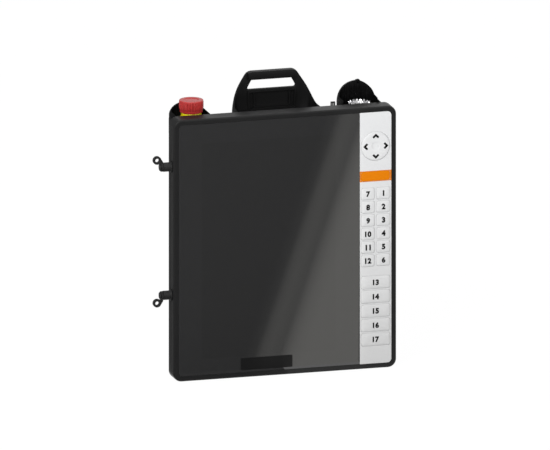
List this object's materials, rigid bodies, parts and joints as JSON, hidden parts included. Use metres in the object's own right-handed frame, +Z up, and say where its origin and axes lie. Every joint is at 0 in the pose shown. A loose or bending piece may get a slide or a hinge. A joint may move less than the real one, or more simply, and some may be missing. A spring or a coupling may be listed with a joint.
{
  "type": "handheld operator panel",
  "caption": "Handheld operator panel: tall touch display, keypad column, stop button and key switch behind guards, hanging handle, rear hand grips.",
  "frame": {"origin": "middle of the flat bottom edge of the front frame, halfway through the frame's depth", "axes": "+Z up along the tall side, +X to the right seen from the front, +Y to the back"},
  "size_m": [0.2947, 0.0769, 0.3555],
  "materials": {
    "frame_black": "fine moulded texture, soft rounded edges",
    "housing_black": "moulded, slightly glossier than the frame",
    "panel_glass": "smooth dark touch glass over a dark display",
    "plate_black": "bare satin plate",
    "display_case": "display module case",
    "sheet_steel": "bent sheet",
    "circuit_board": "green solder mask",
    "screw_steel": "plated screws",
    "seal_rubber": "soft seal",
    "keypad_grey": "light grey panel",
    "key_white": "light pillow keys with dark plain numbers",
    "key_orange": "orange key, bare",
    "switch_black": "switch bodies",
    "collar_yellow": "yellow collar",
    "cap_red": "red ribbed cap",
    "ring_chrome": "bright notched ring",
    "barrel_steel": "lock barrel",
    "stylus_black": "satin pen",
    "button_rubber": "soft enabling button",
    "gland_black": "moulded gland",
    "post_steel": "black painted steel",
    "guard_black": "glossy moulded black"
  },
  "bodies": {
    "housing": {"front_frame": "frame_black", "housing_gasket": "seal_rubber", "touch_glass": "panel_glass", "blank_plate": "plate_black", "lcd_module": "display_case", "lcd_brackets": "sheet_steel", "main_board": "circuit_board", "board_screws": "screw_steel", "keypad_panel": "keypad_grey", "keymat": "seal_rubber", "keypad_board": "circuit_board", "rear_housing": "housing_black", "housing_screws": "screw_steel", "hand_grip_left": "housing_black", "hand_grip_right": "housing_black", "enabling_switch_left": "switch_black", "enabling_switch_right": "switch_black", "stop_base": "collar_yellow", "stop_nut": "switch_black", "stop_contact_block": "switch_black", "key_switch_bezel": "ring_chrome", "key_switch_nut": "switch_black", "key_contact_block": "switch_black", "stop_guard": "guard_black", "key_guard": "guard_black", "hanging_handle": "guard_black", "handle_screws": "screw_steel", "stylus_well": "housing_black", "gland_body": "gland_black", "gland_seal": "seal_rubber", "gland_cap": "gland_black", "strap_posts": "post_steel"},
    "stop_stem": {"stop_stem": "switch_black"},
    "stop_cap": {"stop_cap": "cap_red"},
    "key_barrel": {"key_barrel": "barrel_steel"},
    "nav_pivot": {"nav_pivot": "switch_black"},
    "nav_disc": {"nav_disc": "key_white"},
    "stylus": {"stylus": "stylus_black"},
    "enabling_button_left": {"enabling_button_left": "button_rubber"},
    "enabling_button_right": {"enabling_button_right": "button_rubber"},
    "upper_strap_eyelet": {"upper_strap_eyelet": "post_steel"},
    "lower_strap_eyelet": {"lower_strap_eyelet": "post_steel"},
    "operator_key": {"operator_key": "key_orange"},
    "key_1": {"key_1": "key_white"},
    "key_2": {"key_2": "key_white"},
    "key_3": {"key_3": "key_white"},
    "key_4": {"key_4": "key_white"},
    "key_5": {"key_5": "key_white"},
    "key_6": {"key_6": "key_white"},
    "key_7": {"key_7": "key_white"},
    "key_8": {"key_8": "key_white"},
    "key_9": {"key_9": "key_white"},
    "key_10": {"key_10": "key_white"},
    "key_11": {"key_11": "key_white"},
    "key_12": {"key_12": "key_white"},
    "key_13": {"key_13": "key_white"},
    "key_14": {"key_14": "key_white"},
    "key_15": {"key_15": "key_white"},
    "key_16": {"key_16": "key_white"},
    "key_17": {"key_17": "key_white"}
  },
  "joints": [
    {"name": "stop_push", "type": "slide", "parent": "housing", "child": "stop_stem", "axis": [0, 0, -1], "range_m": [0, 0.004]},
    {"name": "stop_turn", "type": "hinge", "parent": "stop_stem", "child": "stop_cap", "pos_m": [-0.1043, 0.02525, 0.326], "axis": [0, 0, -1], "range_deg": [0, 35], "stiffness_Nm_per_rad": 0.02},
    {"name": "key_turn", "type": "hinge", "parent": "housing", "child": "key_barrel", "pos_m": [0.101, 0.02525, 0.301], "axis": [0, 0, -1], "range_deg": [0, 90]},
    {"name": "nav_up_down", "type": "hinge", "parent": "housing", "child": "nav_pivot", "pos_m": [0.11083, -0.00745, 0.2696], "axis": [1, 0, 0], "range_deg": [-2.5, 2.5], "stiffness_Nm_per_rad": 0.2},
    {"name": "nav_left_right", "type": "hinge", "parent": "nav_pivot", "child": "nav_disc", "pos_m": [0.11083, -0.00745, 0.2696], "axis": [0, 0, 1], "range_deg": [-2.5, 2.5], "stiffness_Nm_per_rad": 0.2},
    {"name": "stylus_lift", "type": "slide", "parent": "housing", "child": "stylus", "axis": [0, 0, 1], "range_m": [0, 0.1]},
    {"name": "enable_left_press", "type": "slide", "parent": "housing", "child": "enabling_button_left", "axis": [-1, 0, 0], "range_m": [0, 0.0045], "stiffness_N_per_m": 900},
    {"name": "enable_right_press", "type": "slide", "parent": "housing", "child": "enabling_button_right", "axis": [1, 0, 0], "range_m": [0, 0.0045], "stiffness_N_per_m": 900},
    {"name": "upper_eyelet_swivel", "type": "hinge", "parent": "housing", "child": "upper_strap_eyelet", "pos_m": [-0.1476, 0, 0.259], "axis": [1, 0, 0], "range_deg": [-180, 180]},
    {"name": "lower_eyelet_swivel", "type": "hinge", "parent": "housing", "child": "lower_strap_eyelet", "pos_m": [-0.1476, 0, 0.1035], "axis": [1, 0, 0], "range_deg": [-180, 180]},
    {"name": "operator_key_press", "type": "slide", "parent": "housing", "child": "operator_key", "axis": [0, 1, 0], "range_m": [0, 0.0008], "stiffness_N_per_m": 1000},
    {"name": "key_1_press", "type": "slide", "parent": "housing", "child": "key_1", "axis": [0, 1, 0], "range_m": [0, 0.0008], "stiffness_N_per_m": 1000},
    {"name": "key_2_press", "type": "slide", "parent": "housing", "child": "key_2", "axis": [0, 1, 0], "range_m": [0, 0.0008], "stiffness_N_per_m": 1000},
    {"name": "key_3_press", "type": "slide", "parent": "housing", "child": "key_3", "axis": [0, 1, 0], "range_m": [0, 0.0008], "stiffness_N_per_m": 1000},
    {"name": "key_4_press", "type": "slide", "parent": "housing", "child": "key_4", "axis": [0, 1, 0], "range_m": [0, 0.0008], "stiffness_N_per_m": 1000},
    {"name": "key_5_press", "type": "slide", "parent": "housing", "child": "key_5", "axis": [0, 1, 0], "range_m": [0, 0.0008], "stiffness_N_per_m": 1000},
    {"name": "key_6_press", "type": "slide", "parent": "housing", "child": "key_6", "axis": [0, 1, 0], "range_m": [0, 0.0008], "stiffness_N_per_m": 1000},
    {"name": "key_7_press", "type": "slide", "parent": "housing", "child": "key_7", "axis": [0, 1, 0], "range_m": [0, 0.0008], "stiffness_N_per_m": 1000},
    {"name": "key_8_press", "type": "slide", "parent": "housing", "child": "key_8", "axis": [0, 1, 0], "range_m": [0, 0.0008], "stiffness_N_per_m": 1000},
    {"name": "key_9_press", "type": "slide", "parent": "housing", "child": "key_9", "axis": [0, 1, 0], "range_m": [0, 0.0008], "stiffness_N_per_m": 1000},
    {"name": "key_10_press", "type": "slide", "parent": "housing", "child": "key_10", "axis": [0, 1, 0], "range_m": [0, 0.0008], "stiffness_N_per_m": 1000},
    {"name": "key_11_press", "type": "slide", "parent": "housing", "child": "key_11", "axis": [0, 1, 0], "range_m": [0, 0.0008], "stiffness_N_per_m": 1000},
    {"name": "key_12_press", "type": "slide", "parent": "housing", "child": "key_12", "axis": [0, 1, 0], "range_m": [0, 0.0008], "stiffness_N_per_m": 1000},
    {"name": "key_13_press", "type": "slide", "parent": "housing", "child": "key_13", "axis": [0, 1, 0], "range_m": [0, 0.0008], "stiffness_N_per_m": 1000},
    {"name": "key_14_press", "type": "slide", "parent": "housing", "child": "key_14", "axis": [0, 1, 0], "range_m": [0, 0.0008], "stiffness_N_per_m": 1000},
    {"name": "key_15_press", "type": "slide", "parent": "housing", "child": "key_15", "axis": [0, 1, 0], "range_m": [0, 0.0008], "stiffness_N_per_m": 1000},
    {"name": "key_16_press", "type": "slide", "parent": "housing", "child": "key_16", "axis": [0, 1, 0], "range_m": [0, 0.0008], "stiffness_N_per_m": 1000},
    {"name": "key_17_press", "type": "slide", "parent": "housing", "child": "key_17", "axis": [0, 1, 0], "range_m": [0, 0.0008], "stiffness_N_per_m": 1000}
  ]
}
